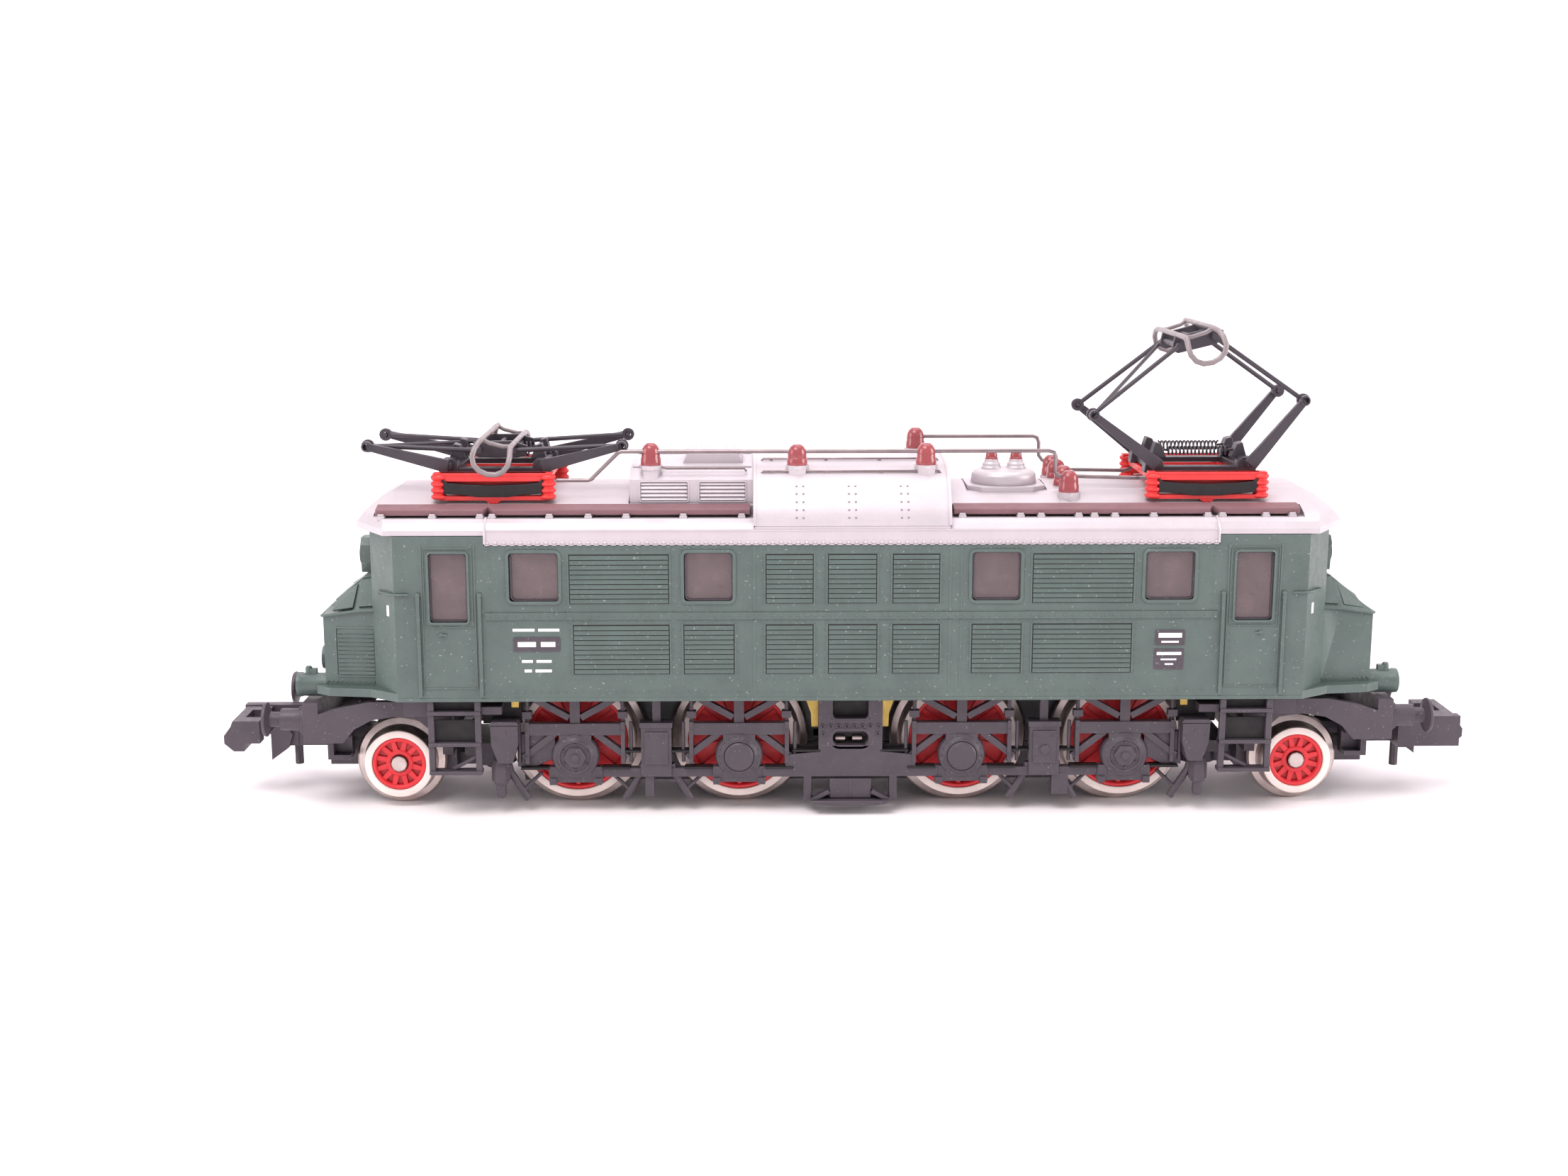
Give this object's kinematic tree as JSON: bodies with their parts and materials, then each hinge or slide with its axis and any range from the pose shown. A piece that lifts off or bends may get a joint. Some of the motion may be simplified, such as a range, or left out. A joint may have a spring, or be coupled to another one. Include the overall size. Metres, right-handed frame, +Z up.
{
  "type": "model electric locomotive",
  "caption": "N gauge model electric locomotive: powered axles in a rigid frame, a swivelling pony truck and hook coupler at each end, two folding roof pantographs.",
  "frame": {"origin": "middle of the locomotive on the plane that its wheel flanges stand on", "axes": "+X along the locomotive towards the raised pantograph, -Y towards the near side, +Z up"},
  "size_m": [0.108, 0.019, 0.041],
  "materials": {
    "shell_green": "satin moulded plastic",
    "roof_silver": "silver paint, slightly sparkling",
    "window_clear": "clear plastic, smoky",
    "walkway_brown": "matt",
    "insulator_brown": "gloss",
    "pantograph_red": "semi-gloss",
    "pantograph_dark": "blackened metal",
    "pantograph_head_grey": "oxidised grey metal",
    "underframe_black": "satin moulded plastic",
    "wheel_red": "semi-gloss",
    "tyre_white": "white painted rim",
    "nickel": "nickel plate",
    "axle_steel": "turned",
    "zinc_casting": "as cast",
    "motor_steel": "blackened",
    "motor_copper": "wound copper",
    "gear_plastic": "moulded acetal",
    "brass": "rolled strip",
    "spring_steel": "wire",
    "marking_white": "printed"
  },
  "bodies": {
    "locomotive": {"chassis_block": "zinc_casting", "keeper_plate": "underframe_black", "motor_frame": "motor_steel", "side_frame_near": "underframe_black", "side_frame_far": "underframe_black", "body_shell": "shell_green", "window_glazing": "window_clear", "roof": "roof_silver", "walkway_left_near": "walkway_brown", "walkway_left_far": "walkway_brown", "walkway_right_near": "walkway_brown", "walkway_right_far": "walkway_brown", "vent_box": "roof_silver", "transformer_dome": "roof_silver", "roof_line_near": "insulator_brown", "roof_line_far": "insulator_brown", "pantograph_left_base": "pantograph_red", "pantograph_right_base": "pantograph_red"},
    "motor_armature": {"motor_armature": "motor_copper"},
    "middle_gear_left": {"middle_gear_left": "gear_plastic"},
    "middle_gear_right": {"middle_gear_right": "gear_plastic"},
    "idler_gear_left": {"idler_gear_left": "gear_plastic"},
    "idler_gear_right": {"idler_gear_right": "gear_plastic"},
    "driver_1": {"driver_1_wheel_near": "wheel_red", "driver_1_wheel_far": "wheel_red", "driver_1_axle": "axle_steel"},
    "driver_2": {"driver_2_wheel_near": "wheel_red", "driver_2_wheel_far": "wheel_red", "driver_2_axle": "axle_steel"},
    "driver_3": {"driver_3_wheel_near": "wheel_red", "driver_3_wheel_far": "wheel_red", "driver_3_axle": "axle_steel"},
    "driver_4": {"driver_4_wheel_near": "wheel_red", "driver_4_wheel_far": "wheel_red", "driver_4_axle": "axle_steel"},
    "pony_truck_left": {"pony_truck_left": "underframe_black", "buffer_left_near": "underframe_black", "buffer_left_far": "underframe_black"},
    "carrier_left": {"carrier_left_wheel_near": "wheel_red", "carrier_left_wheel_far": "wheel_red", "carrier_left_axle": "axle_steel"},
    "coupler_left": {"coupler_left": "underframe_black"},
    "pony_truck_right": {"pony_truck_right": "underframe_black", "buffer_right_near": "underframe_black", "buffer_right_far": "underframe_black"},
    "carrier_right": {"carrier_right_wheel_near": "wheel_red", "carrier_right_wheel_far": "wheel_red", "carrier_right_axle": "axle_steel"},
    "coupler_right": {"coupler_right": "underframe_black"},
    "pantograph_left_lower_arm_a": {"pantograph_left_lower_arm_a": "pantograph_dark"},
    "pantograph_left_lower_arm_b": {"pantograph_left_lower_arm_b": "pantograph_dark"},
    "pantograph_left_upper_arm_a": {"pantograph_left_upper_arm_a": "pantograph_dark"},
    "pantograph_left_upper_arm_b": {"pantograph_left_upper_arm_b": "pantograph_dark"},
    "pantograph_left_head": {"pantograph_left_head": "pantograph_head_grey"},
    "pantograph_right_lower_arm_a": {"pantograph_right_lower_arm_a": "pantograph_dark"},
    "pantograph_right_lower_arm_b": {"pantograph_right_lower_arm_b": "pantograph_dark"},
    "pantograph_right_upper_arm_a": {"pantograph_right_upper_arm_a": "pantograph_dark"},
    "pantograph_right_upper_arm_b": {"pantograph_right_upper_arm_b": "pantograph_dark"},
    "pantograph_right_head": {"pantograph_right_head": "pantograph_head_grey"}
  },
  "joints": [
    {"name": "motor_spin", "type": "hinge", "parent": "locomotive", "child": "motor_armature", "pos_m": [0, 0, 0.01738], "axis": [1, 0, 0], "continuous": true},
    {"name": "middle_gear_left_spin", "type": "hinge", "parent": "locomotive", "child": "middle_gear_left", "pos_m": [-0.0094, 0, 0.0128], "axis": [0, 1, 0], "continuous": true},
    {"name": "idler_gear_left_spin", "type": "hinge", "parent": "locomotive", "child": "idler_gear_left", "pos_m": [-0.0163, 0, 0.0059], "axis": [0, 1, 0], "continuous": true},
    {"name": "middle_gear_right_spin", "type": "hinge", "parent": "locomotive", "child": "middle_gear_right", "pos_m": [0.0094, 0, 0.0128], "axis": [0, 1, 0], "continuous": true},
    {"name": "idler_gear_right_spin", "type": "hinge", "parent": "locomotive", "child": "idler_gear_right", "pos_m": [0.0163, 0, 0.0059], "axis": [0, 1, 0], "continuous": true},
    {"name": "driver_1_spin", "type": "hinge", "parent": "locomotive", "child": "driver_1", "pos_m": [-0.0232, 0, 0.0059], "axis": [0, 1, 0], "continuous": true},
    {"name": "driver_2_spin", "type": "hinge", "parent": "locomotive", "child": "driver_2", "pos_m": [-0.0094, 0, 0.0059], "axis": [0, 1, 0], "continuous": true},
    {"name": "driver_3_spin", "type": "hinge", "parent": "locomotive", "child": "driver_3", "pos_m": [0.0094, 0, 0.0059], "axis": [0, 1, 0], "continuous": true},
    {"name": "driver_4_spin", "type": "hinge", "parent": "locomotive", "child": "driver_4", "pos_m": [0.0232, 0, 0.0059], "axis": [0, 1, 0], "continuous": true},
    {"name": "pony_truck_left_swivel", "type": "hinge", "parent": "locomotive", "child": "pony_truck_left", "pos_m": [-0.031, 0, 0.00305], "axis": [0, 0, 1], "range_deg": [-6, 6]},
    {"name": "carrier_left_spin", "type": "hinge", "parent": "pony_truck_left", "child": "carrier_left", "pos_m": [-0.03844, 0, 0.00385], "axis": [0, 1, 0], "continuous": true},
    {"name": "coupler_left_swing", "type": "hinge", "parent": "pony_truck_left", "child": "coupler_left", "pos_m": [-0.0446, 0, 0.00465], "axis": [0, 0, 1], "range_deg": [-10, 10]},
    {"name": "pony_truck_right_swivel", "type": "hinge", "parent": "locomotive", "child": "pony_truck_right", "pos_m": [0.031, 0, 0.00305], "axis": [0, 0, 1], "range_deg": [-6, 6]},
    {"name": "carrier_right_spin", "type": "hinge", "parent": "pony_truck_right", "child": "carrier_right", "pos_m": [0.03844, 0, 0.00385], "axis": [0, 1, 0], "continuous": true},
    {"name": "coupler_right_swing", "type": "hinge", "parent": "pony_truck_right", "child": "coupler_right", "pos_m": [0.0446, 0, 0.00465], "axis": [0, 0, 1], "range_deg": [-10, 10]},
    {"name": "pantograph_left_fold", "type": "hinge", "parent": "locomotive", "child": "pantograph_left_lower_arm_a", "pos_m": [-0.0336, 0, 0.02925], "axis": [0, 1, 0], "range_deg": [0, 30]},
    {"name": "pantograph_left_lower_b", "type": "hinge", "parent": "locomotive", "child": "pantograph_left_lower_arm_b", "pos_m": [-0.0258, 0, 0.02925], "axis": [0, 1, 0], "range_deg": [-30.01, 0]},
    {"name": "pantograph_left_knee_a", "type": "hinge", "parent": "pantograph_left_lower_arm_a", "child": "pantograph_left_upper_arm_a", "pos_m": [-0.04029, 0, 0.03092], "axis": [0, 1, 0], "range_deg": [-72.01, 0]},
    {"name": "pantograph_left_knee_b", "type": "hinge", "parent": "pantograph_left_lower_arm_b", "child": "pantograph_left_upper_arm_b", "pos_m": [-0.01911, 0, 0.03092], "axis": [0, 1, 0], "range_deg": [0, 72.01]},
    {"name": "pantograph_left_head_tilt", "type": "hinge", "parent": "pantograph_left_upper_arm_a", "child": "pantograph_left_head", "pos_m": [-0.03116, 0, 0.03044], "axis": [0, 1, 0], "range_deg": [0, 42.01]},
    {"name": "pantograph_right_fold", "type": "hinge", "parent": "locomotive", "child": "pantograph_right_lower_arm_a", "pos_m": [0.0258, 0, 0.02925], "axis": [0, 1, 0], "range_deg": [-23.5, 2]},
    {"name": "pantograph_right_lower_b", "type": "hinge", "parent": "locomotive", "child": "pantograph_right_lower_arm_b", "pos_m": [0.0336, 0, 0.02925], "axis": [0, 1, 0], "range_deg": [-3.18, 37.31]},
    {"name": "pantograph_right_knee_a", "type": "hinge", "parent": "pantograph_right_lower_arm_a", "child": "pantograph_right_upper_arm_a", "pos_m": [0.02033, 0, 0.03345], "axis": [0, 1, 0], "range_deg": [-4.51, 52.94]},
    {"name": "pantograph_right_knee_b", "type": "hinge", "parent": "pantograph_right_lower_arm_b", "child": "pantograph_right_upper_arm_b", "pos_m": [0.03791, 0, 0.03463], "axis": [0, 1, 0], "range_deg": [-63.7, 5.43]},
    {"name": "pantograph_right_head_tilt", "type": "hinge", "parent": "pantograph_right_upper_arm_a", "child": "pantograph_right_head", "pos_m": [0.02749, 0, 0.03914], "axis": [0, 1, 0], "range_deg": [-15.44, 1.32]}
  ],
  "couplings": [
    {"joint": "motor_spin", "follows": "driver_1_spin", "ratio": -16},
    {"joint": "middle_gear_left_spin", "follows": "driver_1_spin", "ratio": -1.1429},
    {"joint": "idler_gear_left_spin", "follows": "driver_1_spin", "ratio": -1.1429},
    {"joint": "middle_gear_right_spin", "follows": "driver_1_spin", "ratio": -1.1429},
    {"joint": "idler_gear_right_spin", "follows": "driver_1_spin", "ratio": -1.1429},
    {"joint": "driver_2_spin", "follows": "driver_1_spin", "ratio": 1},
    {"joint": "driver_3_spin", "follows": "driver_1_spin", "ratio": 1},
    {"joint": "driver_4_spin", "follows": "driver_1_spin", "ratio": 1},
    {"joint": "pantograph_left_lower_b", "follows": "pantograph_left_fold", "ratio": -1},
    {"joint": "pantograph_left_knee_a", "follows": "pantograph_left_fold", "ratio": -2.4},
    {"joint": "pantograph_left_knee_b", "follows": "pantograph_left_fold", "ratio": 2.4},
    {"joint": "pantograph_left_head_tilt", "follows": "pantograph_left_fold", "ratio": 1.4},
    {"joint": "pantograph_right_lower_b", "follows": "pantograph_right_fold", "ratio": -1.5872},
    {"joint": "pantograph_right_knee_a", "follows": "pantograph_right_fold", "ratio": -2.2523},
    {"joint": "pantograph_right_knee_b", "follows": "pantograph_right_fold", "ratio": 2.7102},
    {"joint": "pantograph_right_head_tilt", "follows": "pantograph_right_fold", "ratio": 0.65656}
  ]
}
